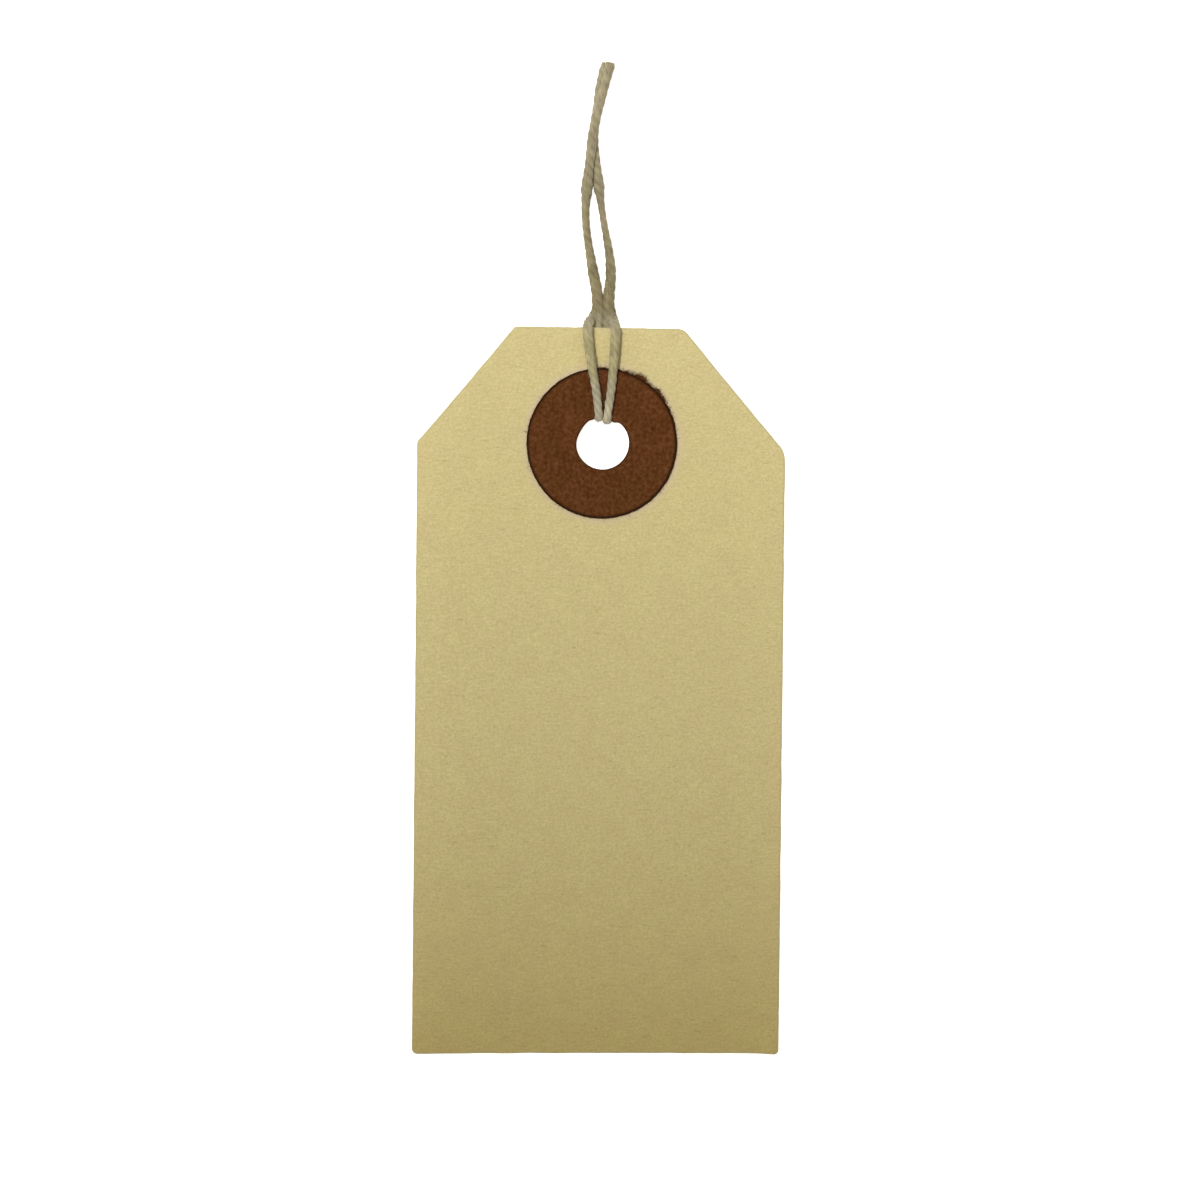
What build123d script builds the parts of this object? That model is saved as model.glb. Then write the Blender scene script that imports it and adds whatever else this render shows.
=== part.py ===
import os
from math import pi, radians, tan

from build123d import *

# Card, in millimetres: the head is towards +Y and the written side towards +Z
card_length = 70.3  # from the head to the lower corner of the foot
card_width = 35.4
card_thickness = 0.33
head_width = 16.3
head_offset = -0.32  # the head stands a little left of the middle
left_shoulder_drop = 11.25  # from the head down to the shoulder
right_shoulder_drop = 11.9
foot_rise = 0.37  # the foot is cut slightly out of square
head_left_radius = 0.4
head_right_radius = 0.9
left_shoulder_radius = 0.6
right_shoulder_radius = 2.4  # the corner that is worn most
foot_radius = 0.6

# Tie hole, punched through the card and both patches
hole_diameter = 5.1
hole_inset = 11.2  # from the head to the middle of the hole
hole_offset = 0.1  # to the right of the middle of the card
patch_diameter = 14.4
patch_thickness = 0.25

# Twine, and the room that it leaves round the card
twine_diameter = 0.8
rim_gap = 0.24  # between the top of the hole and the folded twine
fold_gap = 0.135  # between a patch and the strands that lie on it
head_gap = 0.25  # between the front of the card and the strands at the head
tail_gap = 0.15  # between the back of the card and the strands at the head
cross_gap = 0.2  # between the tails and the loop that passes under them
hinge_gap = 0.06  # slit where the tails start to bend
hinge_lift = 0.03  # from the top of the tails up to the line they fold about

half_card = card_thickness / 2
head_y = card_length / 2
hole_x = hole_offset
hole_y = head_y - hole_inset
twine_radius = twine_diameter / 2

# Heights of the twine's middle line
front_level = half_card + patch_thickness + fold_gap + twine_radius
back_level = -front_level
head_level = half_card + head_gap + twine_radius
tail_level = -half_card - tail_gap - twine_radius
loop_level = tail_level - twine_diameter - cross_gap

# Where the twine folds through the hole, measured past the head like the points below
fold_reach = hole_diameter / 2 - hole_inset - rim_gap - twine_radius

# Points of the hitch, as (x, distance past the head, z): up the back on the left, through the hole,
# over the head, under both tails and home on the right
hitch_points = [
    (-0.42, 1.1, tail_level),
    (-0.45, -2.3, 0.4 * tail_level + 0.6 * back_level),
    (-0.38, -5.9, back_level),
    (-0.30, fold_reach, back_level),
    (-0.25, fold_reach, front_level),
    (-0.58, -6.2, front_level),
    (-1.08, -2.9, 0.4 * head_level + 0.6 * front_level),
    (-1.36, 0.98, head_level),
    (-1.33, 1.05, loop_level),
    (1.33, 1.09, loop_level),
    (1.35, 0.98, head_level),
    (1.14, -2.9, 0.4 * head_level + 0.6 * front_level),
    (0.74, -6.2, front_level),
    (0.60, fold_reach, front_level),
    (0.55, fold_reach, back_level),
    (0.50, -5.9, back_level),
    (0.47, -2.3, 0.4 * tail_level + 0.6 * back_level),
    (0.42, 1.1, tail_level),
]

# Points of the tails: they come down to the table, and the left one ends on top of the right one
left_tail_points = [
    (-0.80, 4.7, -0.99),
    (-1.33, 7.5, -1.62),
    (-1.74, 10.6, -1.97),
    (-1.80, 13.4, -1.88),
    (-1.40, 16.5, -1.42),
    (-1.07, 19.0, -1.33),
    (-0.52, 21.6, -1.42),
    (0.05, 23.6, -1.58),
    (0.70, 25.5, -1.80),
]
right_tail_points = [
    (0.74, 4.7, -0.99),
    (0.68, 7.2, -1.58),
    (0.14, 9.6, -1.93),
    (-0.36, 12.3, -2.02),
    (-0.66, 15.2, -2.10),
    (-1.12, 18.3, -2.18),
    (-0.74, 21.2, -2.26),
    (-0.42, 23.5, -2.32),
    (0.06, 25.5, -2.37),
]
hinge_reach = 3.2  # where the tails leave the hitch, past the head
arc_share = 0.45  # share of the shorter run that each bend takes up


# Card: a six-sided outline with its worn corners, and the hole
def make_card():
    side = card_width / 2
    head_left = head_offset - head_width / 2
    head_right = head_offset + head_width / 2
    corners = [
        ((head_left, head_y), head_left_radius),
        ((head_right, head_y), head_right_radius),
        ((side, head_y - right_shoulder_drop), right_shoulder_radius),
        ((side, foot_rise - head_y), foot_radius),
        ((-side, -head_y), foot_radius),
        ((-side, head_y - left_shoulder_drop), left_shoulder_radius),
    ]
    points = [point for point, _ in corners]
    radii = [radius for _, radius in corners]
    outline = make_face(FilletPolyline(*points, radius=radii, close=True))
    sheet = outline - Pos(hole_x, hole_y) * Circle(hole_diameter / 2)
    return Pos(Z=-half_card) * extrude(sheet, card_thickness)


# Patch: a flat ring whose underside is at the given height
def make_patch(underside):
    ring = Circle(patch_diameter / 2) - Circle(hole_diameter / 2)
    return Pos(hole_x, hole_y, underside) * extrude(ring, patch_thickness)


# Points past the head, moved to the card's own frame
def on_tag(points):
    return [Vector(x, head_y + past, z) for x, past, z in points]


# Point on the run from one point to the next, at a distance past the head
def on_run(start, end, past):
    share = (head_y + past - start.Y) / (end.Y - start.Y)
    return start + (end - start) * share


# Bend at each inner point, as large as its two runs allow
def bend_radii(points):
    radii = []
    for before, corner, after in zip(points, points[1:], points[2:]):
        shorter_run = min((corner - before).length, (after - corner).length)
        turn = (corner - before).get_angle(after - corner)
        radii.append(arc_share * shorter_run / tan(radians(turn / 2)))
    return radii


# Round tube along straight runs and tangent bends
def make_twine(name, points):
    radii = bend_radii(points)
    path = FilletPolyline(*points, radius=radii)
    section = Plane(path @ 0, z_dir=path % 0) * Circle(twine_radius)
    tube = sweep(section, path)
    expected = pi * twine_radius**2 * path.length
    print(name, "radii", [round(radius, 2) for radius in radii])
    print(name, "length", round(path.length, 2), "volume share", round(tube.volume / expected, 4))
    return tube


hitch_route = on_tag(hitch_points)
left_route = on_tag(left_tail_points)
right_route = on_tag(right_tail_points)
hitch_end = hinge_reach - hinge_gap / 2
tail_start = hinge_reach + hinge_gap / 2
hitch_first = on_run(hitch_route[0], left_route[0], hitch_end)
hitch_last = on_run(hitch_route[-1], right_route[0], hitch_end)
left_first = on_run(hitch_route[0], left_route[0], tail_start)
right_first = on_run(hitch_route[-1], right_route[0], tail_start)

nodes = {
    "tag_card": make_card(),
    "front_patch": make_patch(half_card),
    "rear_patch": make_patch(-half_card - patch_thickness),
    "twine_hitch": make_twine("hitch", [hitch_first] + hitch_route + [hitch_last]),
    "twine_tail_left": make_twine("left tail", [left_first] + left_route),
    "twine_tail_right": make_twine("right tail", [right_first] + right_route),
}

hinge_z = max(left_first.Z, right_first.Z) + twine_radius + hinge_lift
print("swivel about Z at", round(hole_x, 3), round(hole_y, 3))
print("tails fold about X at", round(head_y + hinge_reach, 3), round(hinge_z, 3))

os.makedirs("parts", exist_ok=True)
for node, shape in nodes.items():
    export_step(shape, f"parts/{node}.step")
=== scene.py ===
import bisect
import math

import bpy
from mathutils import Matrix, Vector, noise
from mathutils.geometry import delaunay_2d_cdt


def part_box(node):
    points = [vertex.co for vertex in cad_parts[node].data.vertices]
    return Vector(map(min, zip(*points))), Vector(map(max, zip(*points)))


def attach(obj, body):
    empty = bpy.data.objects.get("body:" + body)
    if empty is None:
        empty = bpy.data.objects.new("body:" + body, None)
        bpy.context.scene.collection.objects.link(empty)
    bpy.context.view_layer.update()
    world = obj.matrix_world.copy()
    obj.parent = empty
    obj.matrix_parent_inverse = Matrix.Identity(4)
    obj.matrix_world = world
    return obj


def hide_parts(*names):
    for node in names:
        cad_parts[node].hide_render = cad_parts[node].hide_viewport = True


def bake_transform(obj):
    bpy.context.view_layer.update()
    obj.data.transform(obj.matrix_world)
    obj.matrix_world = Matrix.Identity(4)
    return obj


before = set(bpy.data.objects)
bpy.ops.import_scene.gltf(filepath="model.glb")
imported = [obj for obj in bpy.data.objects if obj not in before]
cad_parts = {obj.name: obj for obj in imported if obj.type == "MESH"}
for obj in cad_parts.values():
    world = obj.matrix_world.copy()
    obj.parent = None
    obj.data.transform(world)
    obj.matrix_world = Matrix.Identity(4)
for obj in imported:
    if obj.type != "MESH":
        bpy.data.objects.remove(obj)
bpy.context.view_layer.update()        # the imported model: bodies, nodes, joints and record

mm = 0.001
fullTurn = 2 * math.pi
rising = (0.0, 1.0)        # ends of a range that goes from none to all
falling = (1.0, 0.0)
scene = bpy.context.scene
tagLow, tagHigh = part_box("tag_card")
patchLow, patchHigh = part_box("front_patch")
headY = tagHigh.y / mm        # edge of the card that the twine goes over
holeMiddle = ((patchLow + patchHigh) / 2 / mm).to_2d()
patchRadius = (patchHigh.x - patchLow.x) / 2 / mm


# Shared helpers

def addNode(tree, kind, inputs=None, **settings):
    node = tree.nodes.new(kind)
    node.location = (180 * len(tree.nodes), 0)
    for name, value in settings.items():
        setattr(node, name, value)
    for key, value in (inputs or {}).items():
        if isinstance(value, bpy.types.Node):
            value = value.outputs[0]
        if isinstance(value, bpy.types.NodeSocket):
            tree.links.new(value, node.inputs[key])
        else:
            node.inputs[key].default_value = value
    return node


def calc(tree, operation, *values):
    return addNode(tree, "ShaderNodeMath", dict(enumerate(values)), operation=operation)


def product(tree, first, *others):
    for other in others:
        first = calc(tree, "MULTIPLY", first, other)
    return first


def span(tree, value, given, wanted):
    inputs = {"Value": value, "From Min": given[0], "From Max": given[1]}
    inputs |= {"To Min": wanted[0], "To Max": wanted[1]}
    return addNode(tree, "ShaderNodeMapRange", inputs)


def speckle(tree, place, scale, detail, rough):
    inputs = {"Vector": place, "Scale": scale, "Detail": detail, "Roughness": rough}
    return addNode(tree, "ShaderNodeTexNoise", inputs)


def mixColour(tree, share, first, second, blend="MIX"):
    inputs = {"Factor": share, 6: first, 7: second}
    node = addNode(tree, "ShaderNodeMix", inputs, data_type="RGBA", blend_type=blend)
    return node.outputs[2]


def tint(tree, colour, by):
    return mixColour(tree, 1.0, colour, by, "MULTIPLY")


def channels(tree, red, green, blue):
    return addNode(tree, "ShaderNodeCombineColor", {0: red, 1: green, 2: blue})


def linkObject(name, data):
    made = bpy.data.objects.new(name, data)
    scene.collection.objects.link(made)
    return made


def meshPiece(name, points, faces, material):
    mesh = bpy.data.meshes.new(name)
    mesh.from_pydata([Vector(point) * mm for point in points], [], faces)
    mesh.materials.append(material)
    mesh.shade_smooth()
    mesh.update()
    return linkObject(name, mesh)


def pointValues(mesh, name, values):
    layer = mesh.attributes.new(name, "FLOAT", "POINT")
    layer.data.foreach_set("value", values)


def newTree(name, **sockets):
    tree = bpy.data.node_groups.new(name, "GeometryNodeTree")
    tree.interface.new_socket("Geometry", in_out="INPUT", socket_type="NodeSocketGeometry")
    tree.interface.new_socket("Geometry", in_out="OUTPUT", socket_type="NodeSocketGeometry")
    for socket, kind in sockets.items():
        tree.interface.new_socket(socket, in_out="INPUT", socket_type="NodeSocket" + kind)
    return tree, addNode(tree, "NodeGroupInput").outputs


def namedValue(tree, name):
    return addNode(tree, "GeometryNodeInputNamedAttribute", {"Name": name}, data_type="FLOAT")


def storeValue(tree, geometry, name, value, domain="POINT"):
    inputs = {"Geometry": geometry, "Name": name, "Value": value}
    return addNode(tree, "GeometryNodeStoreNamedAttribute", inputs, data_type="FLOAT", domain=domain)


def closeTree(tree, geometry, material):
    solid = addNode(tree, "GeometryNodeRealizeInstances", {"Geometry": geometry})
    smooth = addNode(tree, "GeometryNodeSetShadeSmooth", {"Geometry": solid})
    dressed = addNode(tree, "GeometryNodeSetMaterial", {"Geometry": smooth, "Material": material})
    addNode(tree, "NodeGroupOutput", {0: dressed})


def runTree(name, mesh, tree, **values):
    holder = linkObject(name + "Base", mesh)
    modifier = holder.modifiers.new(name, "NODES")
    modifier.node_group = tree
    for socket in tree.interface.items_tree:
        if socket.name in values:
            modifier[socket.identifier] = values[socket.name]
    graph = bpy.context.evaluated_depsgraph_get()
    shown = holder.evaluated_get(graph)
    result = bpy.data.meshes.new_from_object(shown, preserve_all_data_layers=True, depsgraph=graph)
    bpy.data.objects.remove(holder)
    result.name = name
    return linkObject(name, result)


# Materials

def newMaterial(name):
    material = bpy.data.materials.new(name)
    material.use_nodes = True
    tree = material.node_tree
    return material, tree, tree.nodes["Principled BSDF"]


def attributeValue(tree, name):
    return addNode(tree, "ShaderNodeAttribute", attribute_name=name).outputs["Fac"]


def bumpInto(tree, shader, height, strength, depth):
    inputs = {"Height": height, "Strength": strength, "Distance": depth * mm}
    tree.links.new(addNode(tree, "ShaderNodeBump", inputs).outputs[0], shader.inputs["Normal"])


# A noise is its scale, detail and roughness, and a range is the part of its values that is used
paperLook = {
    "tone": (0.61, 0.515, 0.2475, 1),
    "toneShare": 0.5,
    "pinkTone": (0.618, 0.511, 0.2605, 1),
    "yellowTone": (0.602, 0.519, 0.2325, 1),
    # painted shade along the cut edges of the card and its hole
    "edgeTone": (0.45, 0.40, 0.24, 1),
    "edgeShare": 0.6,
    "haloTone": (0.65, 0.515, 0.335, 1),        # paler paper close round the patch
    "haloShare": 0.7,
    "haloReach": (0.2, 0.8),        # past the patch, in mm
    "footShadeTone": (0.855, 0.805, 0.638, 1),        # multiplies the paper's colour at the foot: painted shade, darker and yellower where the light falls off
    "leftPaintedLight": 0.06,        # painted light: how much paler the long edges are
    "leftFrom": 0.5,        # where that starts, as a share of the half width
    "rightPaintedLight": 0.03,
    "rightFrom": 0.7,
    "blotch": (380, 3.0, 0.6),
    "blotchRange": (0.35, 0.65),
    "cloudShade": (0.978, 1.022),
    "grain": (4600, 2.0, 0.65),
    "grainRange": (0.25, 0.75),
    "grainShade": (0.87, 1.13),
    "grainBlue": 1.6,        # the grain is stronger in blue, which keeps it grey
    "fibre": (900, 2.0, 0.6),
    "fibreTurns": (0.35, 1.9),        # the two ways that long fibres lie, in radians
    "fibreStretch": 9,
    "fibreRange": (0.12, 0.40),
    "fibreShade": (0.95, 1.05),
    "fleck": (1300, 1.0, 0.5),        # short darker fibres
    "fleckTurn": 1.1,
    "fleckStretch": 3,
    "fleckRange": (0.68, 0.76),
    "fleckShade": (1.0, 0.86),
    "roughRange": (0.3, 0.7),
    "roughness": (0.78, 0.92),
    "specular": 0.25,
    "bump": 0.35,
    "bumpDepth": 0.03,
}


def drawnOut(tree, place, turn, stretch):
    inputs = {"Vector": place, "Rotation": (0, 0, turn), "Scale": (1, stretch, 1)}
    return addNode(tree, "ShaderNodeMapping", inputs)


def cardPaper(look):
    material, tree, shader = newMaterial("manilaCard")
    place = addNode(tree, "ShaderNodeTexCoord").outputs["Object"]
    blotch = speckle(tree, place, *look["blotch"])
    blotchShare = span(tree, blotch, look["blotchRange"], rising)
    warm = mixColour(tree, blotchShare, look["pinkTone"], look["yellowTone"])
    base = mixColour(tree, look["toneShare"], warm, look["tone"])
    grain = speckle(tree, place, *look["grain"])
    strands = []
    for turn in look["fibreTurns"]:
        strands.append(speckle(tree, drawnOut(tree, place, turn, look["fibreStretch"]), *look["fibre"]))
    fibre = product(tree, *strands)
    fleck = speckle(tree, drawnOut(tree, place, look["fleckTurn"], look["fleckStretch"]), *look["fleck"])
    cloudShade = span(tree, blotch, look["blotchRange"], look["cloudShade"])
    grainShade = span(tree, grain, look["grainRange"], look["grainShade"])
    fibreShade = span(tree, fibre, look["fibreRange"], look["fibreShade"])
    fleckShade = span(tree, fleck, look["fleckRange"], look["fleckShade"])
    shade = product(tree, cloudShade, grainShade, fibreShade, fleckShade)
    blueShade = calc(tree, "POWER", shade, look["grainBlue"])
    grained = tint(tree, base, channels(tree, shade, shade, blueShade))
    across, height, _ = addNode(tree, "ShaderNodeSeparateXYZ", {0: place}).outputs
    # Painted light: the paper is paler towards the long edges, as if more light falls there
    leftShare = span(tree, across, (look["leftFrom"] * tagLow.x, tagLow.x), rising)
    leftLight = calc(tree, "MULTIPLY_ADD", product(tree, leftShare, leftShare), look["leftPaintedLight"], 1.0)
    rightLight = span(tree, across, (look["rightFrom"] * tagHigh.x, tagHigh.x), (0.0, look["rightPaintedLight"]))
    sidePaintedLight = calc(tree, "ADD", leftLight, rightLight)
    sideLit = tint(tree, grained, channels(tree, sidePaintedLight, sidePaintedLight, sidePaintedLight))
    # Painted shade: the paper is darker and yellower towards the foot, where the light falls off
    footShare = span(tree, height, (0.0, tagLow.y), rising)
    footShaded = mixColour(tree, product(tree, footShare, footShare), sideLit, tint(tree, sideLit, look["footShadeTone"]))
    middle = (*holeMiddle * mm, 0)
    level = addNode(tree, "ShaderNodeVectorMath", {0: place, 1: (1, 1, 0)}, operation="MULTIPLY")
    away = addNode(tree, "ShaderNodeVectorMath", {0: level, 1: middle}, operation="DISTANCE").outputs["Value"]
    haloRun = [(patchRadius + reach) * mm for reach in look["haloReach"]]
    halo = span(tree, away, haloRun, (look["haloShare"], 0.0))
    haloed = mixColour(tree, halo, footShaded, look["haloTone"])
    # Painted shade: the rim value greys the cut edges
    edgeShadeShare = calc(tree, "MULTIPLY", attributeValue(tree, "rim"), look["edgeShare"])
    tree.links.new(mixColour(tree, edgeShadeShare, haloed, look["edgeTone"]), shader.inputs["Base Color"])
    roughness = span(tree, grain, look["roughRange"], look["roughness"])
    tree.links.new(roughness.outputs[0], shader.inputs["Roughness"])
    shader.inputs["Specular IOR Level"].default_value = look["specular"]
    bumpInto(tree, shader, calc(tree, "ADD", grain, fibre), look["bump"], look["bumpDepth"])
    return material


fibreLook = {
    "tone": (0.105, 0.0365, 0.0075, 1),
    "redTone": (0.136, 0.0425, 0.0135, 1),
    "darkTone": (0.075, 0.0215, 0.0028, 1),
    # colour of the painted shade line round the patch's edge and hole, also the darkest whisker tone
    "rimTone": (0.026, 0.0085, 0.0012, 1),
    "streak": (560, 4.0, 0.6),
    "streakStretch": 6.5,
    "streakRange": (0.35, 0.65),
    "toneShare": (0.25, 1.0),
    "blotch": (520, 2.0, 0.5),
    "blotchRange": (0.40, 0.66),
    "redShare": (0.0, 0.35),
    "mottle": (2900, 3.0, 0.6),
    "mottleRange": (0.30, 0.70),
    "mottleShade": (0.70, 1.34),
    "grainGreen": 1.65,        # the mottle is stronger in green and blue, which keeps it grey
    "grainBlue": 3.8,
    "roughRange": (0.3, 0.7),
    "roughness": (0.70, 0.88),
    "specular": 0.08,
    "bump": 0.5,
    "bumpDepth": 0.03,
}


def brownFibre(look):
    material, tree, shader = newMaterial("brownFibre")
    place = addNode(tree, "ShaderNodeTexCoord").outputs["Object"]
    along = addNode(tree, "ShaderNodeMapping", {"Vector": place, "Scale": (look["streakStretch"], 1, 1)})
    streak = speckle(tree, along, *look["streak"])
    mottle = speckle(tree, place, *look["mottle"])
    toneShare = span(tree, streak, look["streakRange"], look["toneShare"])
    redShare = span(tree, speckle(tree, place, *look["blotch"]), look["blotchRange"], look["redShare"])
    brown = mixColour(tree, toneShare, look["darkTone"], look["tone"])
    mixed = mixColour(tree, redShare, brown, look["redTone"])
    shade = span(tree, mottle, look["mottleRange"], look["mottleShade"])
    greenShade = calc(tree, "POWER", shade, look["grainGreen"])
    blueShade = calc(tree, "POWER", shade, look["grainBlue"])
    grained = tint(tree, mixed, channels(tree, shade, greenShade, blueShade))
    # Painted shade: a dark line just inside the patch's cut edge and round its hole
    rimShaded = mixColour(tree, attributeValue(tree, "rim"), grained, look["rimTone"])
    tree.links.new(rimShaded, shader.inputs["Base Color"])
    roughness = span(tree, streak, look["roughRange"], look["roughness"])
    tree.links.new(roughness.outputs[0], shader.inputs["Roughness"])
    shader.inputs["Specular IOR Level"].default_value = look["specular"]
    bumpInto(tree, shader, calc(tree, "ADD", streak, mottle), look["bump"], look["bumpDepth"])
    return material


# A run is from where to where past the head of the card, in mm
yarnLook = {
    "tone": (0.38, 0.338, 0.224, 1),
    "paleTone": (0.472, 0.43, 0.312, 1),
    "darkTone": (0.282, 0.243, 0.149, 1),
    "streak": (4.2, 3.0, 0.6),        # fibres round the twine
    "streakRange": (0.33, 0.67),
    "fibreLength": 330,        # the same noise along it, per metre
    "spin": -1860,        # radians that the fibres turn against the twist in a metre
    "slow": (420, 2.0, 0.5),        # long changes along the twine
    "slowRange": (0.35, 0.65),
    "toneShare": (0.0, 0.35),
    "grooveReach": 0.8,        # how far up a ply the painted shade of its groove goes
    "grooveShadeDepth": (0.06, 0.26),
    "crownShade": 1.03,
    "stretch": (900, 1.0, 0.5),        # paler and darker stretches
    "stretchRange": (0.35, 0.65),
    "stretchShade": (0.88, 1.12),
    "paleRun": (-7.8, -5.8),        # paler at the hole
    "paleShade": (1.22, 1.0),
    "stainTone": (0.98, 0.96, 0.74, 1),        # multiplies the colour where the twine lies on the card
    "stainStart": (-6, -4.4),
    "stainEnd": (-1, 0.6),
    "tailTone": (0.60, 0.56, 0.44, 1),        # multiplies the colour of the tails
    "tailStart": (-0.3, 1.8),
    "fadedRun": (4, 16),        # less darkened towards the ends
    "fadedShare": (1.0, 0.6),
    "roughness": 0.9,
    "specular": 0.2,
    "sheen": 0.15,
    "sheenRoughness": 0.5,
    "bump": 0.4,
    "bumpDepth": 0.02,
}


# Place round and along the twine, for noise that follows its fibres
def fibreRing(tree, along, around, look):
    rolled = calc(tree, "MULTIPLY", around, fullTurn)
    spun = calc(tree, "MULTIPLY", along, look["spin"])
    turn = calc(tree, "ADD", rolled, spun)
    lengthwise = calc(tree, "MULTIPLY", along, look["fibreLength"])
    ring = {0: calc(tree, "COSINE", turn), 1: calc(tree, "SINE", turn), 2: lengthwise}
    return addNode(tree, "ShaderNodeCombineXYZ", ring)


def pastHead(tree, past, run, wanted):
    return span(tree, past, [(headY + place) * mm for place in run], wanted)


def twineYarn(look):
    material, tree, shader = newMaterial("naturalTwine")
    ring = fibreRing(tree, attributeValue(tree, "along"), attributeValue(tree, "around"), look)
    streak = speckle(tree, ring, *look["streak"])
    place = addNode(tree, "ShaderNodeTexCoord").outputs["Object"]
    slow = speckle(tree, place, *look["slow"])
    streakShare = span(tree, streak, look["streakRange"], rising)
    toneShare = span(tree, slow, look["slowRange"], look["toneShare"])
    streaked = mixColour(tree, streakShare, look["darkTone"], look["paleTone"])
    plain = mixColour(tree, toneShare, streaked, look["tone"])
    # Painted shade in the grooves between the plies, with the crowns a little lighter
    groove = span(tree, attributeValue(tree, "ply"), (0.0, look["grooveReach"]), falling)
    grooveShadeDepth = span(tree, slow, look["slowRange"], look["grooveShadeDepth"])
    plyShade = calc(tree, "SUBTRACT", look["crownShade"], product(tree, groove, grooveShadeDepth))
    stretch = speckle(tree, place, *look["stretch"])
    stretchShade = span(tree, stretch, look["stretchRange"], look["stretchShade"])
    past = addNode(tree, "ShaderNodeSeparateXYZ", {0: place}).outputs[1]
    # Paler near the hole
    paleShade = pastHead(tree, past, look["paleRun"], look["paleShade"])
    shade = product(tree, plyShade, stretchShade, paleShade)
    mixed = tint(tree, plain, channels(tree, shade, shade, shade))
    onCard = pastHead(tree, past, look["stainStart"], rising)
    stain = product(tree, onCard, pastHead(tree, past, look["stainEnd"], falling))
    stained = mixColour(tree, stain, mixed, tint(tree, mixed, look["stainTone"]))
    # Darker along the tails, from just past the head
    nearHead = pastHead(tree, past, look["tailStart"], rising)
    tailShare = product(tree, nearHead, pastHead(tree, past, look["fadedRun"], look["fadedShare"]))
    tailDarkened = mixColour(tree, tailShare, stained, tint(tree, stained, look["tailTone"]))
    tree.links.new(tailDarkened, shader.inputs["Base Color"])
    shader.inputs["Roughness"].default_value = look["roughness"]
    shader.inputs["Specular IOR Level"].default_value = look["specular"]
    shader.inputs["Sheen Weight"].default_value = look["sheen"]
    shader.inputs["Sheen Roughness"].default_value = look["sheenRoughness"]
    bumpInto(tree, shader, streak, look["bump"], look["bumpDepth"])
    return material


looseLook = {"roughness": 0.85, "specular": 0.2}


def looseFibre(name, paleTone, darkTone, look):
    material, tree, shader = newMaterial(name)
    colour = mixColour(tree, attributeValue(tree, "tone"), darkTone, paleTone)
    tree.links.new(colour, shader.inputs["Base Color"])
    shader.inputs["Roughness"].default_value = look["roughness"]
    shader.inputs["Specular IOR Level"].default_value = look["specular"]
    return material


paper = cardPaper(paperLook)
washerFibre = brownFibre(fibreLook)
yarn = twineYarn(yarnLook)
yarnFuzz = looseFibre("twineFuzz", yarnLook["paleTone"], yarnLook["tone"], looseLook)
washerFuzz = looseFibre("washerFuzz", fibreLook["redTone"], fibreLook["rimTone"], looseLook)
print("materials made:", len(bpy.data.materials))


# Camera, straight above the card as in the photograph

viewSetup = {
    "centre": (0.02, 8.79),        # middle of the picture, in mm
    "field": 115.85,        # width of the picture at the card, in mm
    "distance": 900,
    "turn": 0.59,        # degrees that the tag leans to the right
    "sensor": 36,
    "clip": (0.01, 20),        # in metres
}


def makeCamera(setup):
    camera = bpy.data.cameras.new("topCamera")
    camera.sensor_width = setup["sensor"]
    camera.lens = camera.sensor_width * setup["distance"] / setup["field"]
    camera.clip_start, camera.clip_end = setup["clip"]
    holder = linkObject("topCamera", camera)
    holder.location = Vector((*setup["centre"], setup["distance"])) * mm
    holder.rotation_euler = (0, 0, math.radians(setup["turn"]))
    scene.camera = holder


makeCamera(viewSetup)
print("camera lens", round(scene.camera.data.lens, 1))


# Floor and studio light

floorSetup = {
    "half": 6000,        # mm to each side
    "restPast": 2.7,        # the loop of the hitch rests this far past the head
    "restLevel": -2.24,
    "tone": (0.9, 0.9, 0.9, 1),
    "roughness": 0.9,
    "specular": 0.1,
    "glowTone": (1, 1, 1, 1),
    "glow": 0.8,
}


def makeFloor(setup):
    material, _, shader = newMaterial("paleFloor")
    shader.inputs["Base Color"].default_value = setup["tone"]
    shader.inputs["Roughness"].default_value = setup["roughness"]
    shader.inputs["Specular IOR Level"].default_value = setup["specular"]
    shader.inputs["Emission Color"].default_value = setup["glowTone"]
    shader.inputs["Emission Strength"].default_value = setup["glow"]
    footY = tagLow.y / mm
    footZ = tagLow.z / mm
    slope = (setup["restLevel"] - footZ) / (headY + setup["restPast"] - footY)
    half = setup["half"]
    corners = []
    for x, y in ((-half, -half), (half, -half), (half, half), (-half, half)):
        corners.append((x, y, footZ + slope * (y - footY)))
    meshPiece("floor", corners, [(0, 1, 2, 3)], material)


lightSetup = {
    "world": 0.46,
    "worldTone": (1.0, 0.97, 0.90, 1),
    "place": (-260, 245, 880),        # softbox at the upper left
    "aim": (0, 130, 0),        # its beam is strongest past the twine and fades towards the foot
    "beam": 22.1,        # degrees across
    "size": 170,
    "power": 0.1835,
    "tone": (1, 1, 1),
}


def makeLights(setup):
    world = bpy.data.worlds.new("softStudio")
    scene.world = world
    world.use_nodes = True
    sky = world.node_tree.nodes["Background"]
    sky.inputs["Color"].default_value = setup["worldTone"]
    sky.inputs["Strength"].default_value = setup["world"]
    light = bpy.data.lights.new("softbox", "AREA")
    light.size = setup["size"] * mm
    light.energy = setup["power"]
    light.color = setup["tone"]
    light.spread = math.radians(setup["beam"])
    holder = linkObject("softbox", light)
    holder.visible_camera = False
    place = Vector(setup["place"]) * mm
    holder.location = place
    holder.rotation_euler = (Vector(setup["aim"]) * mm - place).to_track_quat("-Z", "Y").to_euler()
    scene.view_settings.view_transform = "Standard"


makeFloor(floorSetup)
makeLights(lightSetup)
print("floor and lights made")


# Tag card, die-cut and slightly curled

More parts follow.
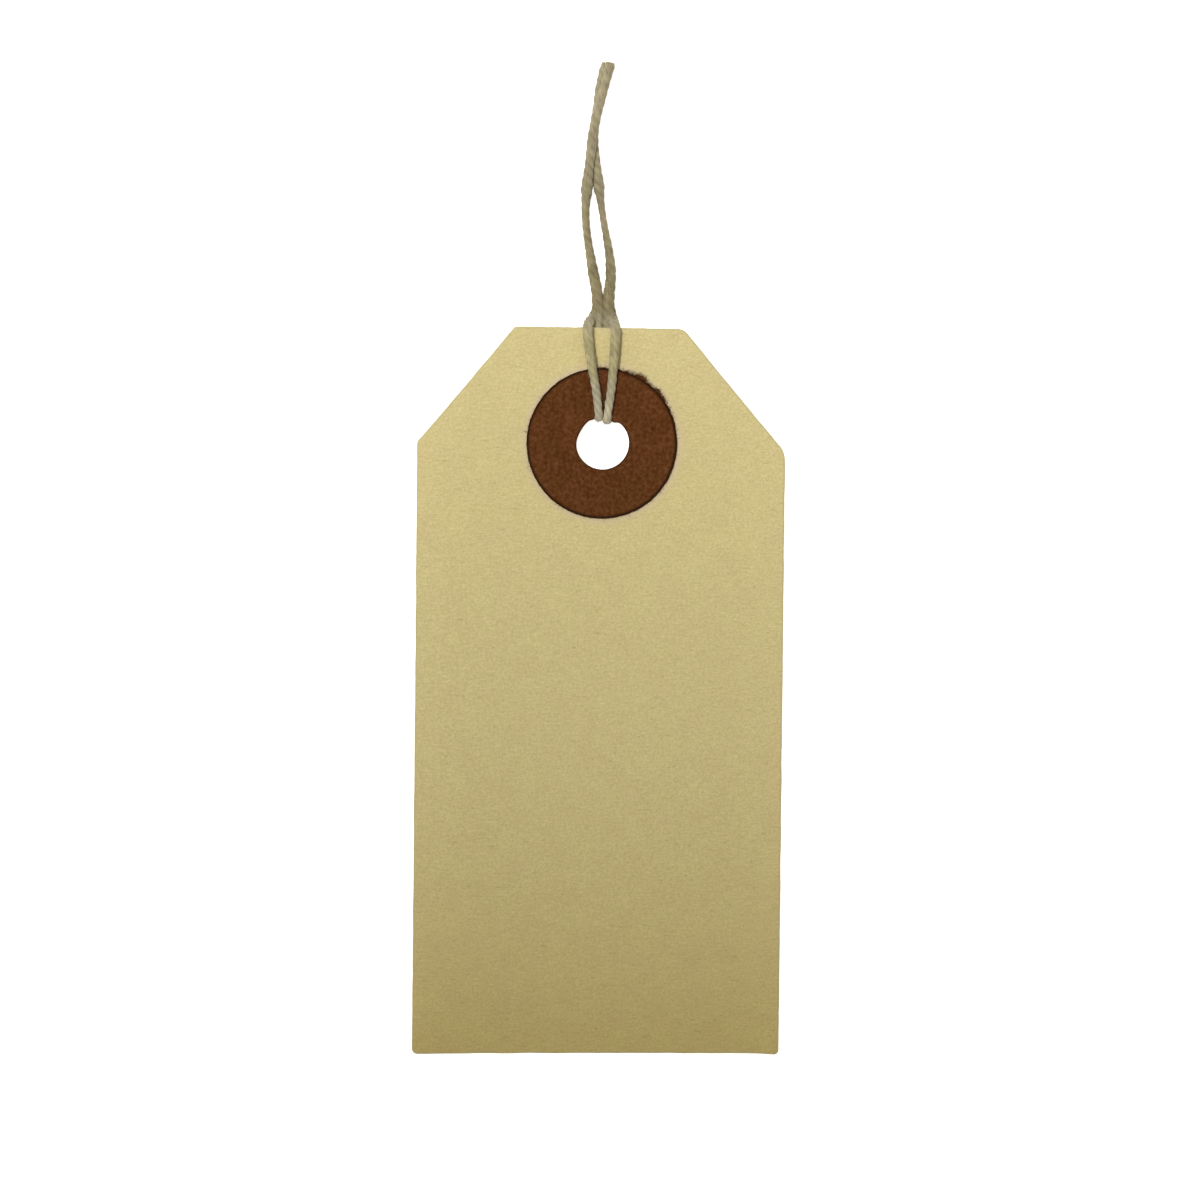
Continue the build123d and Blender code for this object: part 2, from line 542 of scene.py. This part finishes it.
cardShape = {
    "headWidth": 16.3,
    "headOffset": -0.32,
    "headDip": (0.02, 0.10),        # how far the left and right ends of the head are worn down
    "leftDrop": 11.25,        # from the head down to the shoulder
    "rightDrop": 11.9,
    "footRise": (-0.05, 0.34),        # how much higher the left and right foot corners are
    "footDroop": (1.6, 0.12),        # how far from the right foot corner its tip hangs lower, and how much
    "shoulderOut": (0.09, 0.04),        # how far the left and right shoulders stand out
    "headLeftRadius": 0.4,
    "headRightRadius": 1.3,
    "leftRadius": 0.6,
    "rightRadius": 2.1,
    "footRadius": 0.5,
    "cornerStep": 0.12,        # radians between points round a corner
    "cornerLeast": 4,        # fewest steps round one
    "holeDiameter": 5.1,
    # Dents in the hole's rim: degrees from +X, how wide and how deep
    "holeDents": ((63, 9, 0.30), (92, 6, 0.12), (113, 6, 0.10), (150, 28, 0.16)),
    "bows": (0.06, 0.0, 0.04, 0.0, 0.04, 0.0),        # how hollow each edge is, from the foot anticlockwise
    "holeSteps": 120,
    "cutStep": 0.55,        # between points along the cut
    "cutWaver": 0.04,
    "waverParts": ((0.4, 1.0, 3.1), (1.7, 0.5, 8.2)),        # scale, share and seed of its noises
    "gridStep": 1.3,
    "gridClear": 0.6,        # from the grid inside the card to its cuts
    "mergeWithin": 1e-5,
    "flatReach": 8.5,        # the card stays flat this far from the hole
    "flatFade": 14,        # and is fully loose this much further out
    "curl": 0.22,        # how far the foot corners lift
    "curlStart": 8,        # below the middle of the card
    "curlRun": 27,
    "swell": 0.05,
    "swellScale": 0.06,
    "swellSeed": 1.7,
}
# Section through a cut edge: inset from the cut, share of the half thickness, and how much painted shade
# greys the edge
cutSection = [
    (0.24, 1.0, 0.0), (0.12, 1.0, 0.45), (0.045, 0.85, 1.0), (0.0, 0.45, 1.0),
    (0.0, -0.6, 1.0), (0.03, -0.9, 1.0), (0.10, -1.0, 0.4), (0.24, -1.0, 0.0),
]
holeRadius = cardShape["holeDiameter"] / 2


def holeReach(angle):
    turned = math.degrees(angle) % 360
    dent = 0
    for place, width, depth in cardShape["holeDents"]:
        dent += depth * math.exp(-((turned - place) / width) ** 2)
    return holeRadius - dent


def roundedCorner(before, corner, after, radius, shape):
    back = (before - corner).normalized()
    on = (after - corner).normalized()
    half = back.angle(on) / 2
    middle = corner + (back + on).normalized() * (radius / math.sin(half))
    spoke = corner + back * (radius / math.tan(half)) - middle
    sweep = math.pi - 2 * half
    steps = max(shape["cornerLeast"], round(sweep / shape["cornerStep"]))
    return [middle + Matrix.Rotation(sweep * step / steps, 2) @ spoke for step in range(steps + 1)]


def hollowRun(start, end, bow, step):
    along = end - start
    inward = Vector((-along.y, along.x)).normalized()
    count = max(2, round(along.length / step))
    shares = [index / count for index in range(1, count)]
    return [start.lerp(end, share) + inward * (4 * bow * share * (1 - share)) for share in shares]


def outwardNormals(loop):
    normals = []
    for before, after in zip(loop[-1:] + loop[:-1], loop[1:] + loop[:1]):
        along = after - before
        normals.append(Vector((along.y, -along.x)).normalized())
    return normals


def cardOutline(shape):
    side = tagHigh.x / mm
    leftDip, rightDip = shape["headDip"]
    leftRise, rightRise = shape["footRise"]
    leftOut, rightOut = shape["shoulderOut"]
    droopReach, droop = shape["footDroop"]
    headLeft = shape["headOffset"] - shape["headWidth"] / 2
    headRight = shape["headOffset"] + shape["headWidth"] / 2
    corners = [
        ((-side, leftRise - headY), shape["footRadius"]),
        ((side, rightRise - headY), shape["footRadius"]),
        ((side + rightOut, headY - shape["rightDrop"]), shape["rightRadius"]),
        ((headRight, headY - rightDip), shape["headRightRadius"]),
        ((headLeft, headY - leftDip), shape["headLeftRadius"]),
        ((-side - leftOut, headY - shape["leftDrop"]), shape["leftRadius"]),
    ]
    places = [Vector(place) for place, _ in corners]
    arcs = []
    for index, (_, radius) in enumerate(corners):
        after = places[(index + 1) % len(places)]
        arcs.append(roundedCorner(places[index - 1], places[index], after, radius, shape))
    loop = []
    for arc, nextArc, bow in zip(arcs, arcs[1:] + arcs[:1], shape["bows"]):
        loop += arc + hollowRun(arc[-1], nextArc[0], bow, shape["cutStep"])
    wavy = []
    for point, normal in zip(loop, outwardNormals(loop)):
        waver = 0
        for scale, share, seed in shape["waverParts"]:
            waver += share * noise.noise((point.x * scale, point.y * scale, seed))
        hang = droop * math.exp(-((point - places[1]).length / droopReach) ** 2)
        wavy.append(point + normal * shape["cutWaver"] * waver - Vector((0, hang)))
    return wavy


# Lift of the card off its flat middle plane, none round the hole
def cardLift(x, y, shape):
    away = (Vector((x, y)) - holeMiddle).length
    loose = min(max((away - shape["flatReach"]) / shape["flatFade"], 0), 1)
    scale = shape["swellScale"]
    swell = shape["swell"] * noise.noise((x * scale, y * scale, shape["swellSeed"]))
    towardsFoot = max(0, -(y + shape["curlStart"]) / shape["curlRun"])
    corner = shape["curl"] * abs(x / tagHigh.x * mm) ** 3 * towardsFoot ** 2
    return loose * loose * (swell + corner)


def insideLoop(spot, loop):
    inside = False
    for start, end in zip(loop, loop[1:] + loop[:1]):
        if (start.y > spot.y) != (end.y > spot.y):
            if spot.x < start.x + (spot.y - start.y) / (end.y - start.y) * (end.x - start.x):
                inside = not inside
    return inside


def faceMiddle(face, places):
    return sum((places[corner] for corner in face), Vector((0, 0))) / len(face)


# Points inside the card, in rows that are shifted against each other, clear of the cuts
def cardGrid(outline, shape):
    step = shape["gridStep"]
    clear = shape["gridClear"]
    side = tagHigh.x / mm
    grid = []
    for row in range(int(2 * headY / step) + 1):
        for column in range(int(2 * side / step) + 2):
            spot = Vector((-side + (column + 0.5 * (row % 2)) * step, -headY + row * step))
            if not insideLoop(spot, outline) or (spot - holeMiddle).length <= holeRadius + clear:
                continue
            if min((spot - point).length for point in outline) > clear:
                grid.append(spot)
    return grid


def makeCard(shape):
    outline = cardOutline(shape)
    circle = []
    for step in range(shape["holeSteps"]):
        angle = -fullTurn * step / shape["holeSteps"]
        circle.append(holeMiddle + holeReach(angle) * Vector((math.cos(angle), math.sin(angle))))
    loops = [(outline, outwardNormals(outline)), (circle, outwardNormals(circle))]
    inset = cutSection[0][0]
    flat = []
    edges = []
    for loop, normals in loops:
        first = len(flat)
        flat += [point - normal * inset for point, normal in zip(loop, normals)]
        edges += [(first + index, first + (index + 1) % len(loop)) for index in range(len(loop))]
    hole = flat[len(outline):]
    spots = flat + cardGrid(outline, shape)
    insideOnly = 1
    places, _, triangles, origins, _, _ = delaunay_2d_cdt(spots, edges, [], insideOnly, shape["mergeWithin"])
    kept = [face for face in triangles if not insideLoop(faceMiddle(face, places), hole)]
    where = {source: index for index, sources in enumerate(origins) for source in sources}
    half = (tagHigh.z - tagLow.z) / 2 / mm
    points = []
    rim = []
    for level in (half, -half):
        points += [(place.x, place.y, level + cardLift(place.x, place.y, shape)) for place in places]
        rim += [0.0] * len(places)
    faces = [tuple(face) for face in kept]
    faces += [tuple(len(places) + corner for corner in reversed(face)) for face in kept]
    first = 0
    for loop, normals in loops:
        count = len(loop)
        upper = [where[first + index] for index in range(count)]
        rings = [upper]
        for offset, share, grey in cutSection[1:-1]:
            start = len(points)
            for point, normal in zip(loop, normals):
                spot = point - normal * offset
                points.append((spot.x, spot.y, share * half + cardLift(spot.x, spot.y, shape)))
                rim.append(grey)
            rings.append(list(range(start, start + count)))
        rings.append([len(places) + index for index in upper])
        for top, low in zip(rings, rings[1:]):
            for index in range(count):
                after = (index + 1) % count
                faces.append((top[index], low[index], low[after], top[after]))
        first += count
    piece = meshPiece("card_sheet", points, faces, paper)
    pointValues(piece.data, "rim", rim)
    return piece


card = makeCard(cardShape)
print("card faces", len(card.data.polygons))


# Patches, round fibre washers glued to both sides

patchShape = {
    "steps": 400,        # round the ring
    "rings": 26,        # across it
    "edgeRound": 0.07,
    "edgeShare": 0.3,        # of that, where the edge turns
    "rimWaver": 0.025,
    "raggedParts": ((12, 1.0, 0), (31, 0.8, 4)),        # scale, share and seed step of its noises
    "relief": 0.006,
    "reliefScale": (3.1, 1.2),
    "reliefSeed": 9,
    "offCentre": 0.075,        # the ring is punched this far off the hole
    "offTurn": 205,        # degrees from +X, to the side where it is wider
    "rimInset": 0.09,        # from the cut edge in to the middle of the painted shade line
    "rimLine": 0.21,        # from there to where that line ends
    "rimFirm": 1.6,        # how sharply it ends
    "boreShade": 0.45,        # how dark that painted shade is round the hole
    "tearMiddle": 54,        # degrees from +X, where the rim is torn
    "tearSpread": 27,
    "tearDepth": 0.29,
    "tearBias": 0.35,        # how much more of the tear stands out than is missing
    "napLeast": 0.05,        # loose fibres on the rim where it isn't torn
}


def patchSection(shape, height):
    soft = shape["edgeRound"]
    turn = shape["edgeShare"] * soft
    rings = shape["rings"]
    shares = [ring / rings for ring in range(rings + 1)]
    shares = [share * share * (3 - 2 * share) for share in shares]        # closer together at both edges
    section = [(0.0, 0.0, 0.0), (0.0, 0.0, height - soft), (0.0, turn, height - turn)]
    section += [(share, soft * (1 - 2 * share), height) for share in shares]
    section += [(1.0, -turn, height - turn), (1.0, 0.0, height - soft), (1.0, 0.0, 0.0)]
    section += [(share, 0.0, 0.0) for share in shares[-2:0:-1]]
    return section


def makePatch(name, node, side, shape, seed):
    low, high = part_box(node)
    middle = (low + high) / 2 / mm
    height = (high.z - low.z) / mm
    base = (low.z if side > 0 else high.z) / mm
    section = patchSection(shape, height)
    reliefX, reliefY = shape["reliefScale"]
    points = []
    rim = []
    nap = []
    for step in range(shape["steps"]):
        angle = fullTurn * step / shape["steps"]
        x, y = math.cos(angle), math.sin(angle)
        torn = math.exp(-((math.degrees(angle) - shape["tearMiddle"]) / shape["tearSpread"]) ** 2)
        ragged = 0
        for scale, share, seedStep in shape["raggedParts"]:
            ragged += share * noise.noise((x * scale, y * scale, seed + seedStep))
        bore = holeReach(angle)
        cut = patchRadius + shape["offCentre"] * (1 + math.cos(angle - math.radians(shape["offTurn"])))
        tear = shape["tearDepth"] * torn * max(0, shape["tearBias"] + ragged)
        outer = cut + shape["rimWaver"] * ragged + tear
        for share, shift, level in section:
            radius = bore + (outer - bore) * share + shift
            px, py = middle.x + radius * x, middle.y + radius * y
            felt = 0.0
            if level == height:
                felt = shape["relief"] * noise.noise((px * reliefX, py * reliefY, seed + shape["reliefSeed"]))
            points.append((px, py, base + side * (level + felt)))
            # Painted shade: the rim value marks a dark line inside the cut edge and round the hole
            fromLine = abs(cut - shape["rimInset"] - radius)
            outerLine = shape["rimFirm"] * (1 - fromLine / shape["rimLine"])
            boreLine = shape["rimFirm"] * (1 - (radius - bore) / shape["rimLine"])
            rim.append(max(0.0, min(1.0, outerLine), shape["boreShade"] * min(1.0, boreLine)))
            onWall = share == 1.0 and level < height
            nap.append((shape["napLeast"] + torn) if onWall else 0.0)
    count = len(section)
    faces = []
    for step in range(shape["steps"]):
        here, there = step * count, (step + 1) % shape["steps"] * count
        for index in range(count):
            after = (index + 1) % count
            quad = (here + index, here + after, there + after, there + index)
            faces.append(quad if side > 0 else quad[::-1])
    piece = meshPiece(name, points, faces, washerFibre)
    pointValues(piece.data, "rim", rim)
    pointValues(piece.data, "nap", nap)
    return piece


frontPatch = makePatch("patch_front", "front_patch", 1, patchShape, 2.5)
rearPatch = makePatch("patch_rear", "rear_patch", -1, patchShape, 31.5)
print("patch faces", len(frontPatch.data.polygons))


# Fibres that stand off a surface, as many as its nap value asks for

fibreShape = {
    # Bend of a fibre of length 1 that stands along Z
    "bend": {"Resolution": 4, "Start": (0, 0, -0.1), "Middle": (0.05, 0.1, 0.55), "End": (0.55, -0.1, 0.8)},
    "sides": 3,
    "tip": 0.35,        # thickness of the tip against the root
    "shortest": 0.3,
    "seedStep": 7.0,
}


def fibreTree(shape):
    sockets = {"Density": "Float", "Length": "Float", "Thickness": "Float", "Lean": "Float", "Seed": "Int"}
    tree, get = newTree("looseFibres", **sockets, Material="Material")
    density = calc(tree, "MULTIPLY", get["Density"], namedValue(tree, "nap"))
    inputs = {"Mesh": get["Geometry"], "Density": density, "Seed": get["Seed"]}
    scatter = addNode(tree, "GeometryNodeDistributePointsOnFaces", inputs)
    bent = addNode(tree, "GeometryNodeCurveQuadraticBezier", shape["bend"])
    lengths = addNode(tree, "ShaderNodeCombineXYZ", {0: get["Length"], 1: get["Length"], 2: get["Length"]})
    sized = addNode(tree, "GeometryNodeTransform", {"Geometry": bent, "Scale": lengths})
    inputs = {"Resolution": shape["sides"], "Radius": get["Thickness"]}
    outline = addNode(tree, "GeometryNodeCurvePrimitiveCircle", inputs)
    taper = span(tree, addNode(tree, "GeometryNodeSplineParameter"), rising, (1.0, shape["tip"]))
    inputs = {"Curve": sized, "Profile Curve": outline, "Scale": taper, "Fill Caps": True}
    fibre = addNode(tree, "GeometryNodeCurveToMesh", inputs)
    normal = scatter.outputs["Normal"]
    upright = addNode(tree, "FunctionNodeAlignRotationToVector", {"Vector": normal}, axis="Z")
    lean = get["Lean"]
    leanBack = calc(tree, "MULTIPLY", lean, -1.0)
    low = addNode(tree, "ShaderNodeCombineXYZ", {0: leanBack, 1: leanBack, 2: -math.pi})
    high = addNode(tree, "ShaderNodeCombineXYZ", {0: lean, 1: lean, 2: math.pi})
    inputs = {0: low, 1: high, "Seed": get["Seed"]}
    sway = addNode(tree, "FunctionNodeRandomValue", inputs, data_type="FLOAT_VECTOR")
    inputs = {"Rotation": upright, "Rotate By": addNode(tree, "FunctionNodeEulerToRotation", {0: sway})}
    turned = addNode(tree, "FunctionNodeRotateRotation", inputs, rotation_space="LOCAL")
    otherSeed = calc(tree, "ADD", get["Seed"], shape["seedStep"])
    inputs = {2: shape["shortest"], 3: 1.0, "Seed": otherSeed}
    size = addNode(tree, "FunctionNodeRandomValue", inputs, data_type="FLOAT").outputs[1]
    inputs = {"Points": scatter, "Instance": fibre, "Rotation": turned, "Scale": size}
    placed = addNode(tree, "GeometryNodeInstanceOnPoints", inputs)
    tone = addNode(tree, "FunctionNodeRandomValue", {"Seed": get["Seed"]}, data_type="FLOAT").outputs[1]
    closeTree(tree, storeValue(tree, placed, "tone", tone, "INSTANCE"), get["Material"])
    return tree


looseFibres = fibreTree(fibreShape)
whiskerSizes = {"Density": 2.4e8, "Length": 0.52 * mm, "Thickness": 0.015 * mm, "Lean": 0.7}
whiskers = []
for patch, seed in ((frontPatch, 11), (rearPatch, 12)):
    name = patch.name + "_whiskers"
    base = patch.data.copy()
    whiskers.append(runTree(name, base, looseFibres, Seed=seed, Material=washerFuzz, **whiskerSizes))
print("whisker faces", [len(piece.data.polygons) for piece in whiskers])


# Twine, doubled through the hole and hitched over the head

twineShape = {
    "diameter": 0.8,
    "plies": 3,
    "pitch": 2.7,        # length of one full twist
    "crown": 0.424,        # from the middle to the top of a ply
    "groove": 0.366,        # from the middle to the groove between the plies
    "sides": 30,
    "step": 0.10,
    "lineDetail": 14,        # steps of its line from one point to the next
    "swell": (0.45, 2.0, 0.6),        # noise along the twine that makes it thicker and thinner
    "swellGirth": (0.94, 1.06),
    "ridge": (2.2, 2.0, 0.6),        # noise of the fibres that stand up
    "relief": 0.012,
    "noiseRange": (0.25, 0.75),
}
# Route as (x, distance past the head, z), from the end of the left tail to the end of the right one
leftTail = [
    (0.50, 25.60, -1.80), (0.05, 23.6, -1.58), (-0.50, 21.6, -1.42), (-1.12, 19.0, -1.33),
    (-1.39, 16.3, -1.42), (-1.67, 13.5, -1.88), (-1.83, 10.6, -1.97), (-1.38, 7.5, -1.62),
    (-0.90, 4.9, -1.06), (-0.53, 3.3, -0.86), (-0.45, 1.5, -0.76),
]
hitchLeft = [
    (-0.52, -0.4, -0.72), (-0.42, -2.6, -0.77), (-0.39, -5.6, -0.87), (-0.36, -8.1, -0.98),
    (-0.28, -8.93, -0.62), (-0.24, -8.84, 0.62), (-0.33, -8.0, 0.98), (-0.52, -6.2, 0.87),
    (-0.97, -4.0, 0.86), (-1.32, -1.7, 0.64), (-1.49, 0.16, 0.76), (-1.17, 0.67, -0.58),
    (-0.86, 1.0, -1.52), (-0.46, 1.95, -1.77), (-0.33, 2.85, -1.78),
]
hitchRight = [
    (0.50, 2.85, -1.78), (0.60, 1.95, -1.77), (0.90, 1.0, -1.52), (0.98, 0.56, -0.58),
    (1.28, 0.07, 0.76), (1.24, -1.7, 0.64), (1.06, -4.0, 0.86), (0.89, -6.2, 0.87),
    (0.60, -8.1, 0.98), (0.51, -9.10, 0.62), (0.56, -9.10, -0.62), (0.56, -8.1, -0.98),
    (0.52, -5.6, -0.87), (0.51, -2.6, -0.77), (0.51, -0.4, -0.72),
]
rightTail = [
    (0.53, 1.5, -0.76), (0.59, 3.3, -0.86), (0.78, 4.9, -1.06), (0.60, 7.2, -1.58),
    (0.10, 9.6, -1.93), (-0.34, 12.3, -2.02), (-0.70, 15.2, -2.10), (-1.17, 18.3, -2.18),
    (-0.74, 21.2, -2.26), (-0.54, 23.5, -2.32), (0.06, 25.62, -2.37),
]
# Where it is pressed: the place, over what length, how much flatter and how much wider
foldSpots = [
    ((-0.27, -8.88, 0.0), 0.9, 0.38, 0.14),        # at the rim of the hole
    ((0.53, -9.10, 0.0), 0.9, 0.28, 0.16),
    ((-1.36, 0.4, 0.15), 0.9, 0.40, 0.0),        # over the head
    ((1.16, 0.3, 0.15), 0.9, 0.42, 0.0),
    ((-0.46, 1.5, -0.76), 2.1, 0.22, 0.42),        # behind the head
    ((0.54, 1.5, -0.76), 2.1, 0.22, 0.40),
]
# Thicker and thinner places: the place, share of the girth and over what length
slubs = [
    ((0.50, 25.60, -1.80), 0.14, 1.2), ((0.50, 25.60, -1.80), -0.14, 0.3), ((-1.1, 18.4, -1.35), 0.16, 3.0),
    ((0.06, 25.62, -2.37), 0.14, 1.2), ((0.06, 25.62, -2.37), -0.36, 0.4), ((-0.05, 10.7, -1.95), -0.25, 2.3),
    ((-1.63, 13.6, -1.82), 0.34, 1.3), ((-1.78, 11.4, -1.9), 0.11, 1.6), ((-0.85, 5.0, -1.1), 0.22, 1.7),
    ((-0.52, 13.9, -2.07), 0.20, 1.0), ((0.75, 5.2, -1.1), 0.15, 1.6), ((-0.5, 2.7, -0.83), 0.05, 0.9),
    ((0.58, 2.7, -0.83), 0.05, 0.9), ((-1.28, -1.8, 0.66), 0.14, 1.8), ((1.22, -1.8, 0.66), 0.14, 1.8),
    ((-0.36, -8.6, 0.6), -0.04, 1.2), ((0.6, -8.6, 0.6), -0.07, 1.4),
]


def onTag(point):
    return Vector((point[0], headY + point[1], point[2])) * mm


def twineLine(points, shape):
    curve = bpy.data.curves.new("twineRoute", "CURVE")
    curve.dimensions = "3D"
    curve.resolution_u = shape["lineDetail"]
    spline = curve.splines.new("NURBS")
    spline.points.add(len(points) - 1)
    for knot, point in zip(spline.points, points):
        knot.co = (*onTag(point), 1)
    spline.order_u = 3
    spline.use_endpoint_u = True
    holder = linkObject("twineRoute", curve)
    bpy.context.view_layer.update()
    mesh = bpy.data.meshes.new_from_object(holder)
    bpy.data.objects.remove(holder)
    return mesh


def plyTree(shape):
    sockets = {"Step": "Float", "Plies": "Int", "Pitch": "Float", "Crown": "Float", "Groove": "Float"}
    tree, get = newTree("twistedPlies", **sockets, Sides="Int", Relief="Float", Material="Material")
    line = addNode(tree, "GeometryNodeMeshToCurve", {"Mesh": get["Geometry"]})
    even = addNode(tree, "GeometryNodeResampleCurve", {"Curve": line, "Length": get["Step"]}, mode="LENGTH")
    length = addNode(tree, "GeometryNodeSplineParameter").outputs["Length"]
    marked = storeValue(tree, even, "along", length)
    turns = calc(tree, "DIVIDE", length, get["Pitch"])
    twist = calc(tree, "MULTIPLY", turns, -fullTurn)
    twisted = addNode(tree, "GeometryNodeSetCurveTilt", {"Curve": marked, "Tilt": twist})
    circle = addNode(tree, "GeometryNodeCurvePrimitiveCircle", {"Resolution": get["Sides"], "Radius": 1.0})
    share = addNode(tree, "GeometryNodeSplineParameter").outputs["Factor"]
    rounded = storeValue(tree, circle, "around", share)
    halfTurns = calc(tree, "MULTIPLY", share, calc(tree, "MULTIPLY", get["Plies"], math.pi))
    lobes = calc(tree, "ABSOLUTE", calc(tree, "COSINE", halfTurns))
    grooved = storeValue(tree, rounded, "ply", lobes)
    reach = span(tree, lobes, rising, (get["Groove"], get["Crown"]))
    spoke = addNode(tree, "GeometryNodeInputPosition")
    section = addNode(tree, "ShaderNodeVectorMath", {0: spoke, "Scale": reach}, operation="SCALE")
    profile = addNode(tree, "GeometryNodeSetPosition", {"Geometry": grooved, "Position": section})
    swellPlace = addNode(tree, "ShaderNodeCombineXYZ", {0: calc(tree, "MULTIPLY", length, 1 / mm)})
    swellNoise = speckle(tree, swellPlace, *shape["swell"])
    swell = span(tree, swellNoise, shape["noiseRange"], shape["swellGirth"])
    girth = product(tree, swell, namedValue(tree, "slub"))
    inputs = {"Curve": twisted, "Profile Curve": profile, "Scale": girth, "Fill Caps": True}
    tube = addNode(tree, "GeometryNodeCurveToMesh", inputs)
    ring = fibreRing(tree, namedValue(tree, "along"), namedValue(tree, "around"), yarnLook)
    ridges = span(tree, speckle(tree, ring, *shape["ridge"]), shape["noiseRange"], (-1.0, 1.0))
    inputs = {0: addNode(tree, "GeometryNodeInputNormal"), "Scale": product(tree, ridges, get["Relief"])}
    lift = addNode(tree, "ShaderNodeVectorMath", inputs, operation="SCALE")
    rough = addNode(tree, "GeometryNodeSetPosition", {"Geometry": tube, "Offset": lift})
    closeTree(tree, rough, get["Material"])
    return tree


def nearness(spot, place, reach):
    return math.exp(-((spot - onTag(place)).length / mm / reach) ** 2)


# Wider across the card and thinner the other way, where the twine is pulled over an edge
def pressFolds(piece, line, reached):
    pressed = []
    for spot in line:
        flatter = max(flat * nearness(spot, fold, reach) for fold, reach, flat, _ in foldSpots)
        wider = max(wide * nearness(spot, fold, reach) for fold, reach, _, wide in foldSpots)
        pressed.append(Vector((1 + wider, 1 - flatter, 1 - flatter)))
    marks = [item.value for item in piece.data.attributes["along"].data]
    for vertex, mark in zip(piece.data.vertices, marks):
        index = min(bisect.bisect_left(reached, mark), len(line) - 1)
        vertex.co = line[index] + (vertex.co - line[index]) * pressed[index]
    piece.data.update()


lineMesh = twineLine(leftTail + hitchLeft + hitchRight + rightTail, twineShape)
centreline = [vertex.co.copy() for vertex in lineMesh.vertices]
reached = [0.0]
for before, after in zip(centreline, centreline[1:]):
    reached.append(reached[-1] + (after - before).length)
twineLength = reached[-1]
girths = []
for spot in centreline:
    extra = sum(share * nearness(spot, place, reach) for place, share, reach in slubs)
    girths.append(1 + extra)
pointValues(lineMesh, "slub", girths)
plySizes = {
    "Step": twineShape["step"] * mm,
    "Plies": twineShape["plies"],
    "Pitch": twineShape["pitch"] * mm,
    "Crown": twineShape["crown"] * mm,
    "Groove": twineShape["groove"] * mm,
    "Sides": twineShape["sides"],
    "Relief": twineShape["relief"] * mm,
}
twine = runTree("twine", lineMesh, plyTree(twineShape), Material=yarn, **plySizes)
pressFolds(twine, centreline, reached)
print("twine length in mm", round(twineLength / mm, 2), "faces", len(twine.data.polygons))

fuzzSizes = {"Density": 1.7e7, "Length": 0.32 * mm, "Thickness": 0.008 * mm, "Lean": 1.2}
frayed = {"reach": 0.5 * mm, "nap": 6.0}        # more fibres at the cut ends
nap = []
for item in twine.data.attributes["along"].data:
    fromEnd = min(item.value, twineLength - item.value)
    nap.append(1.0 if fromEnd > frayed["reach"] else frayed["nap"])
pointValues(twine.data, "nap", nap)
twineFuzz = runTree("twine_fuzz", twine.data.copy(), looseFibres, Seed=21, Material=yarnFuzz, **fuzzSizes)
print("fuzz faces", len(twineFuzz.data.polygons))


# Bodies and replaced nodes

for piece, node, slot in (
    (card, "tag_card", "manila_card"),
    (frontPatch, "front_patch", "brown_fibre"),
    (rearPatch, "rear_patch", "brown_fibre"),
):
    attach(piece, "card")
    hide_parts(node)
for piece in whiskers:
    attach(piece, "card")
for piece in (twine, twineFuzz):
    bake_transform(piece)
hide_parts("twine_hitch", "twine_tail_left", "twine_tail_right")
print("pieces ride on their bodies")
